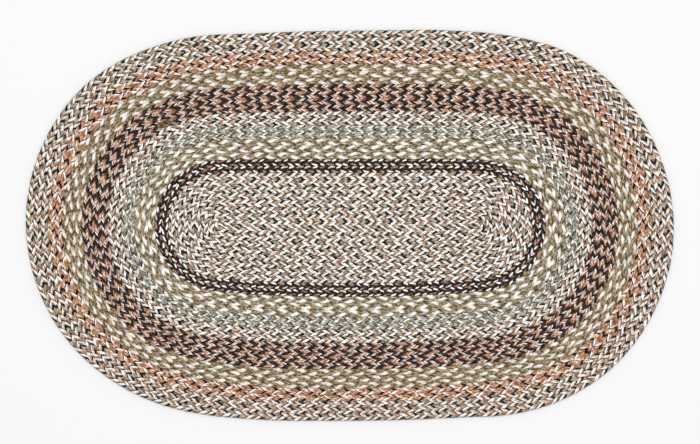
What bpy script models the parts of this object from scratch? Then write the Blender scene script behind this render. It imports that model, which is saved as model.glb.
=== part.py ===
"""A flat oval rug of braids sewn edge to edge in closed rings round a straight middle line.

Metres, +Z up. The long side lies along X, and the origin is the middle of the underside.
The rug is one body: a flat underside, a rounded edge, and one low ridge for each ring of braid.
"""
import math

import bmesh
import bpy

# Driving dimensions, in metres
RUG_LENGTH = 1.143
RUG_WIDTH = 0.686
BRAID_THICKNESS = 0.007
RINGS = 29  # rings of braid between the middle line and the edge

# The ridge that each ring of braid raises
GROOVE_DEPTH = 0.0022  # of the sewn seam between two rings, below the braid's crown
CROWN_SHARE = 0.44  # of a ring's width that the crown takes

# The rounded outer edge: (inset from the outline, height), as shares of the thickness
EDGE_ROUNDING = ((0.36, 0.0), (0.07, 0.22), (0.0, 0.5), (0.12, 0.78))

# How the hand-sewn rings differ from even ones
MIDDLE_SHIFT = -0.0048  # the middle line lies this far along Y from the middle of the rug
INNER_SLACK = 0.02  # the inner rings are this share wider than the mean ring
# How far the outline lies outside an even oval, in millimetres, at even steps round it.
# The first step is the -X end of the +Y side, and the steps go clockwise seen from above.
OUTLINE_UNEVEN_MM = (-6, -1, 1, 1.7, -4, 0, 0, -0.5, 0.5, 0, 0, -4, -6, 0, 2, 0, -10, -10, -5, -1, 0.7, 3, 3, -5)

# Steps that the round shape is cut into
END_STEPS = 18  # round each end
SIDE_STEPS = 4  # along each straight side

BRAID_COLOUR = (0.40, 0.34, 0.27, 1.0)
BRAID_ROUGHNESS = 0.9

END_RADIUS = RUG_WIDTH / 2
STRAIGHT = RUG_LENGTH - RUG_WIDTH
MERGE_DISTANCE = 0.00001


def clear_scene():
    for item in list(bpy.data.objects):
        bpy.data.objects.remove(item, do_unlink=True)


def half_section():
    """Points (distance from the middle line, height), from under the middle, round the edge, to its top."""
    ring = END_RADIUS / RINGS
    groove = BRAID_THICKNESS - GROOVE_DEPTH
    points = [(0.0, 0.0)]
    points += [(END_RADIUS - inset * BRAID_THICKNESS, up * BRAID_THICKNESS) for inset, up in EDGE_ROUNDING]
    for number in range(RINGS, 0, -1):
        centre = (number - 0.5) * ring
        points.append((centre + CROWN_SHARE * ring / 2, BRAID_THICKNESS))
        points.append((centre - CROWN_SHARE * ring / 2, BRAID_THICKNESS))
        points.append(((number - 1) * ring, groove))
    return points


def even_oval(mesh):
    """Sweeps the half section round the oval: an end, a side, the other end and the other side."""
    chain = [mesh.verts.new((STRAIGHT / 2, -out, up)) for out, up in half_section()]
    front = chain + [mesh.edges.new(pair) for pair in zip(chain, chain[1:])]
    for end in (1, -1):
        turned = bmesh.ops.spin(
            mesh,
            geom=front,
            cent=(end * STRAIGHT / 2, 0, 0),
            axis=(0, 0, 1),
            angle=math.pi,
            steps=END_STEPS,
            use_merge=False,
            use_duplicate=False,
        )
        front = turned["geom_last"]
        for _ in range(SIDE_STEPS):
            edges = [item for item in front if isinstance(item, bmesh.types.BMEdge)]
            front = bmesh.ops.extrude_edge_only(mesh, edges=edges)["geom"]
            front = [item for item in front if not isinstance(item, bmesh.types.BMFace)]
            verts = [item for item in front if isinstance(item, bmesh.types.BMVert)]
            bmesh.ops.translate(mesh, verts=verts, vec=(-end * STRAIGHT / SIDE_STEPS, 0, 0))
    bmesh.ops.remove_doubles(mesh, verts=mesh.verts, dist=MERGE_DISTANCE)
    bmesh.ops.recalc_face_normals(mesh, faces=mesh.faces)


def way_round(along, across):
    """Share of the way round the outline, clockwise from the -X end of the +Y side, and the way out there."""
    around = 2 * STRAIGHT + 2 * math.pi * END_RADIUS
    end = max(-STRAIGHT / 2, min(STRAIGHT / 2, along))
    if along == end and across > 0:
        return (STRAIGHT / 2 + along) / around, (0.0, 1.0)
    if along == end:
        return (1.5 * STRAIGHT + math.pi * END_RADIUS - along) / around, (0.0, -1.0)
    turn = math.atan2(along - end, across)  # clockwise from +Y, so it is below 0 at the -X end
    gone = STRAIGHT if turn > 0 else around
    return (gone + turn * END_RADIUS) / around, (math.sin(turn), math.cos(turn))


def outline_unevenness(share):
    """Smooth curve through OUTLINE_UNEVEN_MM at a share of the way round, in metres."""
    count = len(OUTLINE_UNEVEN_MM)
    step = int(share * count)
    before, start, end, after = (OUTLINE_UNEVEN_MM[(step + i) % count] for i in (-1, 0, 1, 2))
    t = share * count - step
    bend = 2 * before - 5 * start + 4 * end - after
    twist = 3 * (start - end) + after - before
    return 0.0005 * (2 * start + t * (end - before + t * (bend + t * twist)))


def sew_by_hand(mesh):
    """Moves the even rings to where the hand-sewn ones lie."""
    for vert in mesh.verts:
        along, across = vert.co.x, vert.co.y
        end = max(-STRAIGHT / 2, min(STRAIGHT / 2, along))
        reach = math.hypot(along - end, across) / END_RADIUS
        if reach < MERGE_DISTANCE:
            vert.co.y += MIDDLE_SHIFT
            continue
        share, out = way_round(along, across)
        push = INNER_SLACK * reach * (1 - reach) * END_RADIUS + outline_unevenness(share) * reach ** 2
        vert.co.x += out[0] * push
        vert.co.y += out[1] * push + MIDDLE_SHIFT * (1 - reach)


def braid_material():
    material = bpy.data.materials.new("braid")
    material.use_nodes = True
    shader = material.node_tree.nodes["Principled BSDF"]
    shader.inputs["Base Color"].default_value = BRAID_COLOUR
    shader.inputs["Roughness"].default_value = BRAID_ROUGHNESS
    shader.inputs["Metallic"].default_value = 0.0
    material.diffuse_color = BRAID_COLOUR
    return material


def make_rug():
    mesh = bmesh.new()
    even_oval(mesh)
    sew_by_hand(mesh)
    data = bpy.data.meshes.new("rug")
    mesh.to_mesh(data)
    mesh.free()
    data.materials.append(braid_material())
    data.shade_smooth()
    data.set_sharp_from_angle(angle=math.radians(50))
    rug = bpy.data.objects.new("rug", data)
    bpy.context.scene.collection.objects.link(rug)
    return rug


clear_scene()
make_rug()
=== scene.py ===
"""A flat oval rug of three-strand braids, sewn edge to edge in closed rings round a straight middle line.

Every ring is a true plait: three bundles of yarn are laid side by side as straight strands, plaited,
bent round their ring and then moved to where the hand-sewn ring lies. Rings that share their yarns
make one colour band, and each band is one piece. Everything is in metres, +Z up, and the rings are
numbered from 1 in the middle to 29 at the edge.
"""

import math

import bmesh
import bpy
import numpy as np
from mathutils import Matrix, Vector


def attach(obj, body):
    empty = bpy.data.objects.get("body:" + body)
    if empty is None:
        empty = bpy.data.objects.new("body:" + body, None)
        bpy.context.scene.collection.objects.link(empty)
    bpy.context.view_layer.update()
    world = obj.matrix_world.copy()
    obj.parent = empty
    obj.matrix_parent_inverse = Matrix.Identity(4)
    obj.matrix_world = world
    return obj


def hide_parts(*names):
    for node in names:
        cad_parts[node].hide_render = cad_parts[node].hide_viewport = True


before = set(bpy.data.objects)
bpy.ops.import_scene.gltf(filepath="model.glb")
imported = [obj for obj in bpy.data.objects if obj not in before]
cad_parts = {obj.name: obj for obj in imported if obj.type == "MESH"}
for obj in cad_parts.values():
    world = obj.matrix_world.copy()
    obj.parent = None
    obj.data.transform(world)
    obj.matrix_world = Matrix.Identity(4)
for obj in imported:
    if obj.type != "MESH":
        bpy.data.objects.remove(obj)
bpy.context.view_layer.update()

# The rug before the hand sewing makes it uneven
RUG_LENGTH = 1.143
RUG_WIDTH = 0.686
BRAID_THICKNESS = 0.007
RINGS = 29
END_RADIUS = RUG_WIDTH / 2
STRAIGHT = RUG_LENGTH - RUG_WIDTH
RING_PITCH = END_RADIUS / RINGS

# How the hand-sewn rings differ from even ones. These were typed in, rounded, from what scratch programs
# measured in the photograph, and report.md says so
MIDDLE_SHIFT = -0.0053  # along Y, of the middle line
MIDDLE_BOW = 0.0048  # the middle line bends back by this much towards its ends
INNER_SLACK = {"+Y": 0.036, "-Y": 0.047}  # how far the long sides between the middle and the edge bulge
# At the rug's ends, the seams with so many rings inside them lie this far outside their even places
SEAM_RINGS = (0, 8, 17, 24, 29)
SEAM_OFF_MM = (0, -1.7, -1.4, -4.1, 0)
SEAM_OFF_POWER = 3  # keeps that to the ends
# How far out the edge lies, in even steps clockwise seen from above, from the -X end of the +Y side
OUTLINE_UNEVEN_MM = (-6, -1, 1, 2, -4, 0, -1, -2, 0, 0, 0, -4, -6, -1, 1, -1, -10, -10, -6, -2, 1, 2, 1, -6)
MM_PER_M = 1000

# One plait: how far its strands swing across and rise, and how broad and thick each is
INNER_REPEAT = 0.0400  # length in which each strand returns to its place, in the middle of the rug
SLACKER = {"+Y": 0.0025, "-Y": 0.0016}  # how much longer it gets outwards along each side
SLACK_RINGS = 7.0  # the rings over which most of that comes in
END_EASE = 0.018  # the share of its repeats that a ring saves because they are longer round its ends
SWING = 0.0055  # neighbouring rings interlock, so a strand swings nearly to the seam
FOLD_SHARPNESS = 0.985  # at 1 a strand turns back at the seam in a corner
RISE = 0.0016
OVERHANG = 0.5  # how long a strand stays on top past the plait's middle, as an angle
DIVE = 1.27  # how much earlier its front yarns dive under the next strand than its rear ones
TUCK = 0.2  # how much lower its front yarns lie than its middle, as a share of the rise
STRAND_BREADTH = 0.0172  # along the plait
STRAND_THICKNESS = 0.0034
TAKE_UP = 1.21  # length of strand in a length of braid
PLY_TURNS = 14  # how often a yarn's two plies turn round each other in one repeat
STRANDS = 3
SIDES = 8
# Where half a repeat of a strand has its sections, at 360 degrees to a repeat: closest at its fold at 90
SECTIONS = (38, 62, 82, 98, 118, 142, 180)
LAY_GAP = 10.0  # between the straight strands before they are plaited
SLOPE_STEP = 0.001  # the angle over which a strand's slope is measured
START_STEPS = 10  # BANDS gives the rings' starts in tenths of a repeat
SETTLING_ROUNDS = 8  # stitched_round comes this often closer to where each stitch lies
# Joining and mapping the meshes
REPEATS_JOIN = 0.0001  # in repeats
SAME_POINT = 0.000001
MAP_MARGIN = 0.001  # at each side of a strand's strip in its maps
RING_MAP_GAP = 100  # in repeats, so that no two rings have the same chance marks
# How much one stitch may differ from the next, either way
UNEVEN_SWING = 0.07  # as a share of the swing
UNEVEN_BREADTH = 0.12  # as a share of the breadth
UNEVEN_PLACE = 0.018  # along, in repeats
UNEVEN_HEIGHT = 0.00018
# Chance marks on the yarns: scales along a repeat and round a strand, detail, and strength
WANDER = (3.0, 3.0, 2.0, 0.45)  # how far a yarn leaves its lane
FRAY = (24.0, 40.0, 3.0, 0.25)  # how ragged its edges are
FIBRE = (45.0, 330.0, 2.0, 0.5)  # single fibres, which show as relief and as shade
WEAR = (1.7, 0.9, 2.0, 0.5)  # some stretches are lighter or darker
ISLAND_CHANCE = (2.0, 1.0, 2.0, 1.2)  # how much islands differ in size
LANE_END = 0.99  # keeps a strand's front yarn from taking the next strand's colour
# Light yarns show as islands on a dark strand: their middle and size across it, as shares of its breadth
ISLAND_MIDDLE = 0.48
ISLAND_SIZE = 0.73
ISLAND_LEAST = 0.03  # where there is none
# and along it, in quarters of a repeat: how far from its fold, and how far to each side of that
QUARTERS = 4
ISLAND_FROM_FOLD = 0.40
ISLAND_REACH = 0.32
# The flecks in which one or the other ply shows
FLECKS_ALONG = 15  # in a repeat
FLECK_STRAND_GAP = 71.3  # these two keep strands and yarns from having the same flecks
FLECK_YARN_GAP = 5.37
FLECK_DETAIL = 1.0
FLECK_SHARPNESS = 12
FLECK_FRAY = 3
# How strongly the rounded yarns, their flecks, ragged edges and ply lines stand out
YARNS_ACROSS = 6  # on a strand's upper face
YARN_RELIEF = 0.6
PLY_RELIEF = 0.25
FRAY_RELIEF = 0.8
PLY_LINE_RELIEF = 0.12
RELIEF_STRENGTH = 0.6
RELIEF_DEPTH = 0.0006
# Painted shade and painted light: the share of the colour that shows in the grooves between yarns and in the
# crevices between strands, and how much painted light is added to it on the yarns' ridges and at the top
PAINTED_GROOVE_SHADE, PAINTED_RIDGE_LIGHT = 0.5, 0.58
PAINTED_CREVICE_SHADE, PAINTED_TOP_LIGHT = 0.4, 0.76
# Painted shade and light along the ply lines, darker in their grooves
PAINTED_PLY_LINE_SHADE = 0.08
# Heights between which painted shade darkens the crevices between strands, and painted light grows towards the
# tops
PAINTED_SHADE_TOP = 0.0066
PAINTED_SHADE_BOTTOM = 0.0042
YARN_ROUGHNESS = 0.92
YARN_GLOSS = 0.2
# How far a knot's or wad's edge reaches, and how sharp it is
KNOT_REACH = 1.1
KNOT_SHARPNESS = 3

# Each yarn is twisted from two plies of these colours, 0 to 255 as seen on a screen. The colours, and the
# yarns' order in the braids below, were typed in to follow average colours that a scratch program worked out
# from the photograph for each yarn's place in a repeat. They weren't chosen by eye alone
YARNS = {
    "bright": ((255, 255, 254), (244, 244, 242)),
    "white": ((250, 250, 247), (222, 219, 212)),
    "ivory": ((237, 231, 222), (196, 188, 175)),
    "cream": ((244, 238, 230), (166, 144, 124)),
    "pale": ((228, 226, 220), (150, 142, 128)),
    "stone": ((212, 204, 192), (118, 102, 88)),
    "khaki": ((180, 170, 148), (102, 88, 66)),
    "moss": ((192, 192, 180), (98, 90, 76)),
    "chalk": ((252, 248, 240), (150, 140, 122)),
    "grey": ((148, 140, 126), (36, 32, 26)),
    "sage": ((150, 137, 112), (76, 64, 44)),
    "olive": ((160, 142, 108), (74, 54, 28)),
    "terracotta": ((200, 152, 120), (112, 74, 52)),
    "orange": ((212, 160, 120), (138, 96, 68)),
    "rose": ((226, 206, 194), (160, 112, 84)),
    "clay": ((192, 138, 106), (112, 104, 92)),
    "sienna": ((196, 138, 98), (100, 76, 62)),
    "umber": ((90, 70, 58), (30, 22, 20)),
    "black": ((66, 52, 48), (8, 6, 6)),
    "jet": ((24, 19, 18), (6, 5, 5)),
    "wad": ((146, 118, 84), (22, 18, 14)),
    "pepper": ((230, 220, 208), (66, 54, 48)),
}
# The knots and the wad where a ring's ends are joined: X, Y, half length, half breadth, lean in degrees, yarn
SPLICES = {
    "black_band": ((-0.328, 0.180, 0.014, 0.007, 20, "wad"),),
    "edge_band": ((-0.270, 0.320, 0.005, 0.004, 10, "umber"), (0.326, 0.321, 0.005, 0.004, -20, "grey")),
}
# Six yarns across each strand, rear to front, for the three strands of a braid
MULTI_BRAID = (
    ("white", "white", "cream", "jet", "umber", "umber"),
    ("moss", "moss", "moss", "sienna", "jet", "jet"),
    ("bright", "bright", "cream", "clay", "jet", "jet"),
)
EDGE_BRAID = (
    ("white", "white", "stone", "jet", "umber", "umber"),
    ("moss", "moss", "khaki", "sienna", "jet", "jet"),
    ("white", "white", "cream", "clay", "jet", "jet"),
)
DARK_BRAID = (
    ("black", "terracotta", "terracotta", "grey", "grey", "black"),
    ("black", "black", "white", "white", "black", "black"),
    ("black", "cream", "cream", "ivory", "black", "black"),
)
INNER_OLIVE_BRAID = (
    ("ivory", "ivory", "white", "ivory", "rose", "rose"),
    ("olive", "olive", "olive", "khaki", "stone", "stone"),
    ("khaki", "khaki", "olive", "khaki", "pale", "pale"),
)
OUTER_OLIVE_BRAID = (
    ("ivory", "ivory", "ivory", "ivory", "clay", "clay"),
    ("olive", "olive", "olive", "khaki", "khaki", "khaki"),
    ("olive", "olive", "olive", "khaki", "pale", "pale"),
)
GREY_BRAID = (
    ("chalk", "chalk", "chalk", "sage", "stone", "stone"),
    ("grey", "grey", "grey", "chalk", "stone", "stone"),
    ("moss", "moss", "moss", "moss", "jet", "jet"),
)
BLACK_TERRACOTTA_BRAID = (
    ("black", "black", "black", "black", "orange", "orange"),
    ("terracotta", "terracotta", "rose", "terracotta", "bright", "bright"),
    ("black", "black", "black", "stone", "cream", "cream"),
)
TERRACOTTA_BRAID = (
    ("orange", "orange", "terracotta", "jet", "black", "black"),
    ("orange", "orange", "rose", "pepper", "jet", "jet"),
    ("bright", "bright", "rose", "terracotta", "terracotta", "terracotta"),
)
# From the middle out: name, slot, yarns, and for each ring where its repeat stands at the middle of
# the +Y and -Y sides, in tenths of a repeat. These 29 pairs are the output of a scratch program that was
# fitted to the photograph. They weren't chosen by hand; report.md says which rule this doesn't keep
BANDS = (
    (
        "field_band",
        "multi_braid",
        MULTI_BRAID,
        ((7, 3), (2, 4), (0, 9), (1, 7), (8, 1), (0, 2), (9, 9), (4, 0)),
    ),
    ("dark_band", "dark_braid", DARK_BRAID, ((7, 3), (5, 3))),
    ("inner_olive_band", "olive_braid", INNER_OLIVE_BRAID, ((0, 9), (9, 7), (6, 2))),
    ("grey_band", "grey_braid", GREY_BRAID, ((7, 4), (7, 1))),
    ("white_band", "multi_braid", MULTI_BRAID, ((3, 0), (9, 7))),
    ("black_band", "black_terracotta_braid", BLACK_TERRACOTTA_BRAID, ((7, 5), (6, 6), (1, 3), (2, 6))),
    ("outer_olive_band", "olive_braid", OUTER_OLIVE_BRAID, ((2, 4), (4, 2), (9, 3))),
    ("terracotta_band", "terracotta_braid", TERRACOTTA_BRAID, ((7, 6), (8, 9))),
    ("edge_band", "multi_braid", EDGE_BRAID, ((0, 5), (5, 9), (4, 7))),
)

# The plain studio: a pale floor, one broad soft light, a white surrounding and a camera straight above
FLOOR_HALF_SIZE = 6
FLOOR_PALENESS = 0.755
FLOOR_ROUGHNESS = 0.8
KEY_PLACE = (0.4, 1.3, 7.0)
KEY_SIZE = 3.0
KEY_POWER = 310
SURROUNDING_STRENGTH = 0.7
LENS_MM = 85
SENSOR_MM = 36
FRAME_WIDTH = 1.2385  # of floor in the picture, in metres
FRAME_MIDDLE = (-0.0002, 0.0065)


# ---------------------------------------------------------------- shader maths


class Wire:
    """A shader socket, so that shader maths can be written as Python sums."""

    def __init__(self, finish, socket):
        self.finish = finish
        self.socket = socket

    def maths(self, operation, *others):
        return self.finish.node("ShaderNodeMath", {"operation": operation}, dict(enumerate((self, *others))))

    def within(self, low, high):
        return self.maths("MAXIMUM", low).maths("MINIMUM", high)

    def __add__(self, other):
        return self.maths("ADD", other)

    def __sub__(self, other):
        return self.maths("SUBTRACT", other)

    def __mul__(self, other):
        return self.maths("MULTIPLY", other)

    def __truediv__(self, other):
        return self.maths("DIVIDE", other)

    def __rsub__(self, other):
        return self.finish.node("ShaderNodeMath", {"operation": "SUBTRACT"}, {0: other, 1: self})

    __radd__ = __add__


class Finish:
    """One material, and the methods that make its nodes."""

    def __init__(self, name):
        self.material = bpy.data.materials.new(name)
        self.material.use_nodes = True
        self.tree = self.material.node_tree
        self.shader = self.tree.nodes["Principled BSDF"]

    def node(self, kind, settings=None, sockets=None, out=0):
        made = self.tree.nodes.new(kind)
        for name, value in (settings or {}).items():
            if name == "stops":
                self.set_stops(made.color_ramp, value)
            else:
                setattr(made, name, value)
        self.connect(made, sockets or {})
        return Wire(self, made.outputs[out])

    def noise(self, x, y, detail):
        """Chance from about -0.5 to 0.5 that changes smoothly with x and y."""
        place = self.node("ShaderNodeCombineXYZ", {}, {"X": x, "Y": y})
        return self.node("ShaderNodeTexNoise", {}, {"Vector": place, "Scale": 1.0, "Detail": detail}) - 0.5

    def mix(self, share, first, second, blend="MIX"):
        """Two colours mixed. The Mix node's sockets 6 and 7 and its output 2 are the ones for colours."""
        settings = {"data_type": "RGBA", "blend_type": blend}
        return self.node("ShaderNodeMix", settings, {"Factor": share, 6: first, 7: second}, 2)

    def connect(self, made, sockets):
        for name, value in sockets.items():
            if isinstance(value, Wire):
                self.tree.links.new(value.socket, made.inputs[name])
            else:
                made.inputs[name].default_value = value

    @staticmethod
    def set_stops(ramp, stops):
        ramp.interpolation = "CONSTANT"
        while len(ramp.elements) > 1:
            ramp.elements.remove(ramp.elements[-1])
        for number, (place, colour) in enumerate(stops):
            stop = ramp.elements[0] if number == 0 else ramp.elements.new(place)
            stop.position = place
            stop.color = (*colour, 1.0)


def yarn_places(count):
    """Where each of the yarns seen on a strand's face starts, as a share of the way across it."""
    return [(1 - math.cos(math.pi * number / count)) / 2 for number in range(count)]


def linear(value):
    """A screen's 0 to 255 as the share of light that it stands for, by the standard screen curve."""
    value /= 255
    return value / 12.92 if value < 0.04 else ((value + 0.055) / 1.055) ** 2.4


def braid_finish(name, yarns, islands, splices):
    """The finish of one band: strands of parallel two-ply yarns, placed by the Strand map of add_maps.

    islands says whether light yarns show only as islands, and splices holds the band's knots and wads.
    """
    finish = Finish(name)
    map_place = {"Vector": finish.node("ShaderNodeUVMap", {"uv_map": "Strand"})}
    object_place = {"Vector": finish.node("ShaderNodeTexCoord", {}, {}, "Object")}
    along = finish.node("ShaderNodeSeparateXYZ", {}, map_place, "X")
    strand_round = finish.node("ShaderNodeSeparateXYZ", {}, map_place, "Y")
    strand = strand_round.maths("FLOOR")
    angle = (strand_round - strand) * (2 * math.pi)

    def marks(lengthwise, around, detail, strength):
        return finish.noise(along * lengthwise, strand_round * around, detail) * strength

    wander, fray, fibre = marks(*WANDER), marks(*FRAY), marks(*FIBRE)
    across = (1 + angle.maths("COSINE")) * 0.5 + wander + fray
    if islands:
        quarters = along * QUARTERS - strand * (QUARTERS / STRANDS) - 1
        off_middle = (quarters.maths("FLOORED_MODULO", QUARTERS / 2) - ISLAND_FROM_FOLD) / ISLAND_REACH
        lobe = (1 - off_middle * off_middle) * (ISLAND_SIZE + marks(*ISLAND_CHANCE))
        across = (across - ISLAND_MIDDLE) / lobe.maths("MAXIMUM", ISLAND_LEAST) + ISLAND_MIDDLE
    lane = (strand + across.within(0.0, LANE_END)) / STRANDS
    plies = []
    for ply in (0, 1):
        stops = [
            ((number + place) / STRANDS, [linear(value) for value in YARNS[yarn][ply]])
            for number, strand_yarns in enumerate(yarns)
            for place, yarn in zip(yarn_places(len(strand_yarns)), strand_yarns)
        ]
        plies.append(finish.node("ShaderNodeValToRGB", {"stops": stops}, {"Fac": lane}, "Color"))
    yarn_number = (angle * (YARNS_ACROSS / math.pi)).maths("FLOOR")
    own_place = strand * FLECK_STRAND_GAP + yarn_number * FLECK_YARN_GAP
    fleck = finish.noise(along * FLECKS_ALONG, own_place, FLECK_DETAIL)
    twist = (fleck * FLECK_SHARPNESS + fray * FLECK_FRAY + 0.5).within(0.0, 1.0)
    colour = finish.mix(twist, *plies)

    for x, y, half_length, half_breadth, lean, knot_yarn in splices:
        right = finish.node("ShaderNodeSeparateXYZ", {}, object_place, "X") - x
        up = finish.node("ShaderNodeSeparateXYZ", {}, object_place, "Y") - y
        cosine, sine = math.cos(math.radians(lean)), math.sin(math.radians(lean))
        ahead = (right * cosine + up * sine) / half_length
        aside = (up * cosine - right * sine) / half_breadth
        share = ((KNOT_REACH - ahead * ahead - aside * aside + wander) * KNOT_SHARPNESS).within(0.0, 1.0)
        light, dark = ([*map(linear, ply_colour), 1] for ply_colour in YARNS[knot_yarn])
        colour = finish.mix(share, colour, finish.mix(twist, light, dark))

    ridge = (angle * YARNS_ACROSS).maths("SINE").maths("ABSOLUTE")
    ply_line = ((along * PLY_TURNS + angle * (YARNS_ACROSS / math.pi)) * (2 * math.pi)).maths("SINE")
    relief = ridge * YARN_RELIEF + twist * PLY_RELIEF + fray * FRAY_RELIEF + ply_line * PLY_LINE_RELIEF + fibre
    height = finish.node("ShaderNodeSeparateXYZ", {}, object_place, "Z")
    # Painted shade: lower points, in the crevices between strands, are darker and higher ones lighter
    painted_light_share = ((height - PAINTED_SHADE_BOTTOM) / (PAINTED_SHADE_TOP - PAINTED_SHADE_BOTTOM)).within(0.0, 1.0)
    # Painted shade in the grooves between yarns and painted light on their ridges, times the painted shade by
    # height
    shade = (PAINTED_GROOVE_SHADE + ridge.maths("SQRT") * PAINTED_RIDGE_LIGHT) * (PAINTED_CREVICE_SHADE + painted_light_share * PAINTED_TOP_LIGHT)
    # Painted shade along the ply lines, with the yarns' own uneven tone from wear and single fibres
    shade = shade * (1 + marks(*WEAR)) * (1 + ply_line * PAINTED_PLY_LINE_SHADE + fibre)
    grey = finish.node("ShaderNodeCombineColor", {}, {"Red": shade, "Green": shade, "Blue": shade})
    colour = finish.mix(1.0, colour, grey, "MULTIPLY")
    bump_inputs = {"Strength": RELIEF_STRENGTH, "Distance": RELIEF_DEPTH, "Height": relief}
    bump = finish.node("ShaderNodeBump", {}, bump_inputs, "Normal")
    dull = {"Roughness": YARN_ROUGHNESS, "Specular IOR Level": YARN_GLOSS}
    finish.connect(finish.shader, {"Base Color": colour, "Normal": bump, **dull})
    return finish.material


# ---------------------------------------------------------------- one plait


def laid_strands(repeats):
    """Three straight strands side by side along X, one unit to a repeat, each a third further on."""
    mesh = bmesh.new()
    for number in range(STRANDS):
        place = Matrix.Translation((number / STRANDS, number * LAY_GAP, 0))
        upright = Matrix.Rotation(math.pi / 2, 4, "Y")
        bmesh.ops.create_circle(mesh, segments=SIDES, radius=1, matrix=place @ upright)
    edges = mesh.edges[:]
    places = [degrees / 360 for degrees in SECTIONS]
    places += [0.5 + place for place in places]
    for before, place in zip([0.0, *places], places):
        made = bmesh.ops.extrude_edge_only(mesh, edges=edges)["geom"]
        edges = [item for item in made if isinstance(item, bmesh.types.BMEdge)]
        verts = [item for item in made if isinstance(item, bmesh.types.BMVert)]
        bmesh.ops.translate(mesh, verts=verts, vec=(place - before, 0, 0))
    data = bpy.data.meshes.new("laid")
    mesh.to_mesh(data)
    mesh.free()
    strands = bpy.data.objects.new("laid", data)
    bpy.context.scene.collection.objects.link(strands)
    copies = strands.modifiers.new("repeats", "ARRAY")
    copies.count = repeats
    copies.use_relative_offset = False
    copies.use_constant_offset = True
    copies.constant_offset_displace = (1, 0, 0)
    copies.use_merge_vertices = True
    copies.merge_threshold = REPEATS_JOIN
    whole = bpy.data.meshes.new_from_object(strands.evaluated_get(bpy.context.evaluated_depsgraph_get()))
    bpy.data.objects.remove(strands)
    bpy.data.meshes.remove(data)
    return whole


def unevenness(number, kind, strand, gone, repeats):
    """Chance from -1 to 1 that changes smoothly from one half repeat of a strand to the next."""
    halves = 2 * repeats
    chance = np.random.default_rng((number, kind)).uniform(-1, 1, (STRANDS, halves))
    step = np.floor(gone * 2).astype(int)
    share = gone * 2 - step
    before, after = chance[strand, step % halves], chance[strand, (step + 1) % halves]
    return before + (after - before) * share * share * (3 - 2 * share)


def swing(turn, ahead):
    """How far a yarn lies sideways and up at an angle of the repeat. ahead is -1 at the rear, 1 at the front."""
    across = SWING * np.arcsin(FOLD_SHARPNESS * np.sin(turn)) / math.asin(FOLD_SHARPNESS)
    wave = np.sin(2 * turn - (OVERHANG - DIVE * ahead) * np.cos(turn) ** 2)
    # The last factor rounds the wave's tops off into broader ones
    up = -RISE * (1 - TUCK * ahead) * wave * (1.5 - 0.5 * wave ** 2)
    return across, up


def plait(places, number, repeats):
    """Moves the points of straight strands to their places in the plait: along in repeats, across and up."""
    strand = np.round(places[:, 1] / LAY_GAP).astype(int)
    gone = places[:, 0] - strand / STRANDS
    wider, broader, later, higher = (unevenness(number, kind, strand, gone, repeats) for kind in range(4))
    angle = np.arctan2(places[:, 2], places[:, 1] - strand * LAY_GAP)
    turn = 2 * math.pi * gone
    ahead, thick = np.cos(angle), np.sin(angle) * STRAND_THICKNESS / 2
    across, up = swing(turn, ahead)
    next_across, next_up = swing(turn + SLOPE_STEP, ahead)
    slope_across, slope_up = next_across - across, next_up - up
    length = np.hypot(slope_across, slope_up)
    breadth = STRAND_BREADTH * (1 + UNEVEN_BREADTH * broader)
    return np.column_stack(
        (
            places[:, 0] + ahead * breadth / 2 / INNER_REPEAT + UNEVEN_PLACE * later,
            across * (1 + UNEVEN_SWING * wider) - thick * slope_up / length,
            up + thick * slope_across / length + UNEVEN_HEIGHT * higher,
        )
    )


# ---------------------------------------------------------------- the rings


def on_ring(radius, share, inward):
    """Places on an even ring, by the share of the way round, anticlockwise from the middle of the +Y side."""
    around = 2 * STRAIGHT + 2 * math.pi * radius
    gone = (share % 1.0) * around
    half = STRAIGHT / 2
    end = math.pi * radius
    corners = np.array([half, half + end, 3 * half + end, 3 * half + 2 * end])
    # 0 is the first half of the +Y side, 1 the -X end, 2 the -Y side, 3 the +X end, 4 the rest of +Y
    stretch = np.searchsorted(corners, gone)
    turn = np.select(
        [stretch == 1, stretch == 2, stretch == 3],
        [(gone - corners[0]) / radius, math.pi, math.pi + (gone - corners[2]) / radius],
        0.0,
    )
    centre = np.select(
        [stretch == 0, stretch == 1, stretch == 2, stretch == 3],
        [-gone, -half, gone - corners[1] - half, half],
        half - (gone - corners[3]),
    )
    out = radius - inward
    return centre - out * np.sin(turn), out * np.cos(turn)


def outline_unevenness(share):
    """Smooth curve through OUTLINE_UNEVEN_MM at a share of the way round, in metres."""
    table = np.array(OUTLINE_UNEVEN_MM)
    count = len(table)
    step = np.floor(share * count).astype(int)
    before, start, end, after = (table[(step + move) % count] for move in (-1, 0, 1, 2))
    t = share * count - step
    bend = 2 * before - 5 * start + 4 * end - after
    twist = 3 * (start - end) + after - before
    return 0.5 / MM_PER_M * (2 * start + t * (end - before + t * (bend + t * twist)))


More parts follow.
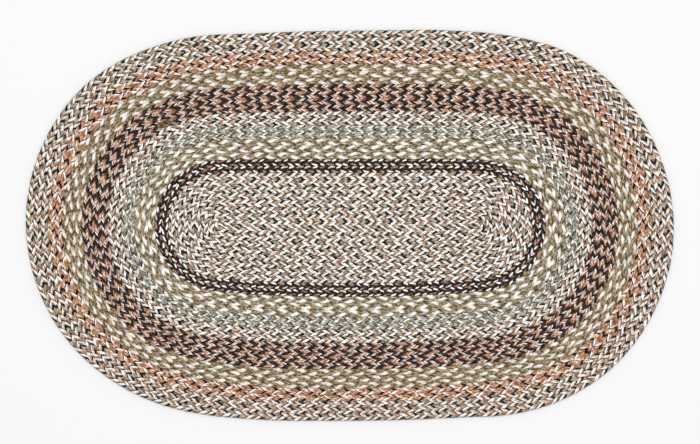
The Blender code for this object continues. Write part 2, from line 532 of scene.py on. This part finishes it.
def sew_by_hand(along, across):
    """Moves even places to where the hand-sewn ones lie."""
    half = STRAIGHT / 2
    around = 2 * STRAIGHT + 2 * math.pi * END_RADIUS
    end = np.clip(along, -half, half)
    turn = np.arctan2(along - end, across)
    side = along == end
    share = np.where(
        side,
        np.where(across > 0, half + along, 3 * half + math.pi * END_RADIUS - along),
        np.where(turn > 0, STRAIGHT, around) + turn * END_RADIUS,
    ) / around
    reach = np.hypot(along - end, across) / END_RADIUS
    bow = (end / half) ** 2
    slack = np.where(across > 0, INNER_SLACK["+Y"], INNER_SLACK["-Y"]) * (1 - bow)
    push = slack * reach * (1 - reach) * END_RADIUS + outline_unevenness(share) * reach ** 2
    push += bow ** SEAM_OFF_POWER * np.interp(reach * RINGS, SEAM_RINGS, SEAM_OFF_MM) / MM_PER_M
    out_along = np.where(side, 0.0, np.sin(turn))
    out_across = np.where(side, np.sign(across), np.cos(turn))
    shift = (MIDDLE_SHIFT + MIDDLE_BOW * bow) * (1 - reach)
    return along + out_along * push, across + out_across * push + shift


def ring_length(number):
    """Along the middle of a braid, once round."""
    return 2 * STRAIGHT + 2 * math.pi * (number - 0.5) * RING_PITCH


def repeat_length(number, side):
    """On one of a ring's long sides, "+Y" or "-Y"."""
    return INNER_REPEAT + SLACKER[side] * (1 - math.exp(-number / SLACK_RINGS))


def stitched_round(number, repeats, starts, places):
    """Share of the way round a ring for places counted in repeats.

    starts says where the count stands at the middle of the two long sides, in tenths. A place is late by its
    drift between these, and where the repeats are longer than the ring's usual ones.
    """
    around = ring_length(number)
    ahead, back = (around / repeat_length(number, side) for side in ("+Y", "-Y"))
    drift = (starts[1] - starts[0]) / START_STEPS - repeats / 2
    drift -= round(drift)
    share = places / repeats
    for _ in range(SETTLING_ROUNDS):
        turn = 2 * math.pi * share
        late = drift * (1 - np.cos(turn)) / 2 + (ahead - back) * np.sin(turn) / (4 * math.pi)
        late = late + ((ahead + back) / 2 - repeats) * np.sin(2 * turn) / (4 * math.pi)
        share = (places - starts[0] / START_STEPS - late) / repeats
    return share


def ring_mesh(number, starts, row, rows):
    """The closed plait of one ring, with its maps. row and rows place its strands in the band's bake map."""
    usual_length = (repeat_length(number, "+Y") + repeat_length(number, "-Y")) / 2
    repeats = round(ring_length(number) * (1 - END_EASE) / usual_length)
    mesh = laid_strands(repeats)
    places = np.empty(len(mesh.vertices) * 3)
    mesh.vertices.foreach_get("co", places)
    places = places.reshape(-1, 3)
    add_maps(mesh, places, number, repeats, row, rows)
    plaited = plait(places, number, repeats)
    share = stitched_round(number, repeats, starts, plaited[:, 0])
    along, across = on_ring((number - 0.5) * RING_PITCH, share, plaited[:, 1])
    along, across = sew_by_hand(along, across)
    up = BRAID_THICKNESS / 2 + plaited[:, 2]
    mesh.vertices.foreach_set("co", np.column_stack((along, across, up)).ravel())
    return mesh


def add_maps(mesh, places, number, repeats, row, rows):
    """Maps the straight strands. places are the mesh's points before they are plaited.

    Strand holds the repeats along, apart for each ring, and the strand's number plus the share of the way
    round it. OFBake lays the band's strands out side by side.
    """
    corners = np.empty(len(mesh.loops), int)
    mesh.loops.foreach_get("vertex_index", corners)
    x, y, z = places[corners].T
    strand = np.round(y / LAY_GAP)
    turn = (np.arctan2(z, y - strand * LAY_GAP) / (2 * math.pi)) % 1.0
    turn[turn > 1 - MAP_MARGIN] = 0.0  # these are on the front line, but for rounding
    quads = turn.reshape(-1, 4)
    # The share starts again at the front line, and in the face that reaches it from below it goes on past 1
    crosses = quads.max(1) - quads.min(1) > 0.5
    quads[crosses] = np.where(quads[crosses] < 0.5, quads[crosses] + 1, quads[crosses])
    turn = MAP_MARGIN + (1 - 2 * MAP_MARGIN) * quads.ravel()
    ahead = x - strand / STRANDS
    strand_map = mesh.uv_layers.new(name="Strand")
    strand_map.uv.foreach_set("vector", np.column_stack((x + number * RING_MAP_GAP, strand + turn)).ravel())
    bake_map = mesh.uv_layers.new(name="OFBake")
    bake_map.uv.foreach_set(
        "vector", np.column_stack((ahead / repeats, (STRANDS * row + strand + turn) / (STRANDS * rows))).ravel()
    )


def band(name, yarns, first, starts):
    """All the rings of one colour band, as one piece. first is the innermost ring's number."""
    whole = bmesh.new()
    for row, ring_starts in enumerate(starts):
        ring = ring_mesh(first + row, ring_starts, row, len(starts))
        whole.from_mesh(ring)
        bpy.data.meshes.remove(ring)
    bmesh.ops.remove_doubles(whole, verts=whole.verts, dist=SAME_POINT)
    bmesh.ops.recalc_face_normals(whole, faces=whole.faces)
    data = bpy.data.meshes.new(name)
    whole.to_mesh(data)
    whole.free()
    data.shade_smooth()
    islands = yarns is DARK_BRAID
    data.materials.append(braid_finish(name + "_yarns", yarns, islands, SPLICES.get(name, ())))
    piece = bpy.data.objects.new(name, data)
    bpy.context.scene.collection.objects.link(piece)
    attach(piece, "root")
    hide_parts("rug")
    strand_length = TAKE_UP * sum(ring_length(first + row) for row in range(len(starts)))


# ---------------------------------------------------------------- floor, light and camera


def floor():
    mesh = bmesh.new()
    bmesh.ops.create_grid(mesh, x_segments=1, y_segments=1, size=FLOOR_HALF_SIZE)
    data = bpy.data.meshes.new("floor")
    mesh.to_mesh(data)
    mesh.free()
    finish = Finish("pale_floor")
    pale = (FLOOR_PALENESS, FLOOR_PALENESS, FLOOR_PALENESS, 1)
    finish.connect(finish.shader, {"Base Color": pale, "Roughness": FLOOR_ROUGHNESS})
    data.materials.append(finish.material)
    ground = bpy.data.objects.new("floor", data)
    bpy.context.scene.collection.objects.link(ground)


def key_light():
    lamp = bpy.data.lights.new("key", "AREA")
    lamp.size = KEY_SIZE
    lamp.energy = KEY_POWER
    holder = bpy.data.objects.new("key", lamp)
    holder.location = KEY_PLACE
    holder.rotation_euler = Vector(KEY_PLACE).to_track_quat("Z", "Y").to_euler()
    bpy.context.scene.collection.objects.link(holder)


def surrounding_light():
    world = bpy.data.worlds.new("studio")
    world.use_nodes = True
    background = world.node_tree.nodes["Background"].inputs
    background["Color"].default_value = (1, 1, 1, 1)
    background["Strength"].default_value = SURROUNDING_STRENGTH
    bpy.context.scene.world = world
    bpy.context.scene.view_settings.view_transform = "Standard"


def camera():
    lens = bpy.data.cameras.new("above")
    lens.lens = LENS_MM
    holder = bpy.data.objects.new("above", lens)
    holder.location = (*FRAME_MIDDLE, FRAME_WIDTH * LENS_MM / SENSOR_MM)
    bpy.context.scene.collection.objects.link(holder)
    bpy.context.scene.camera = holder


floor()
ring_number = 1
for name, slot, yarns, starts in BANDS:
    band(name, yarns, ring_number, starts)
    ring_number += len(starts)
key_light()
surrounding_light()
camera()
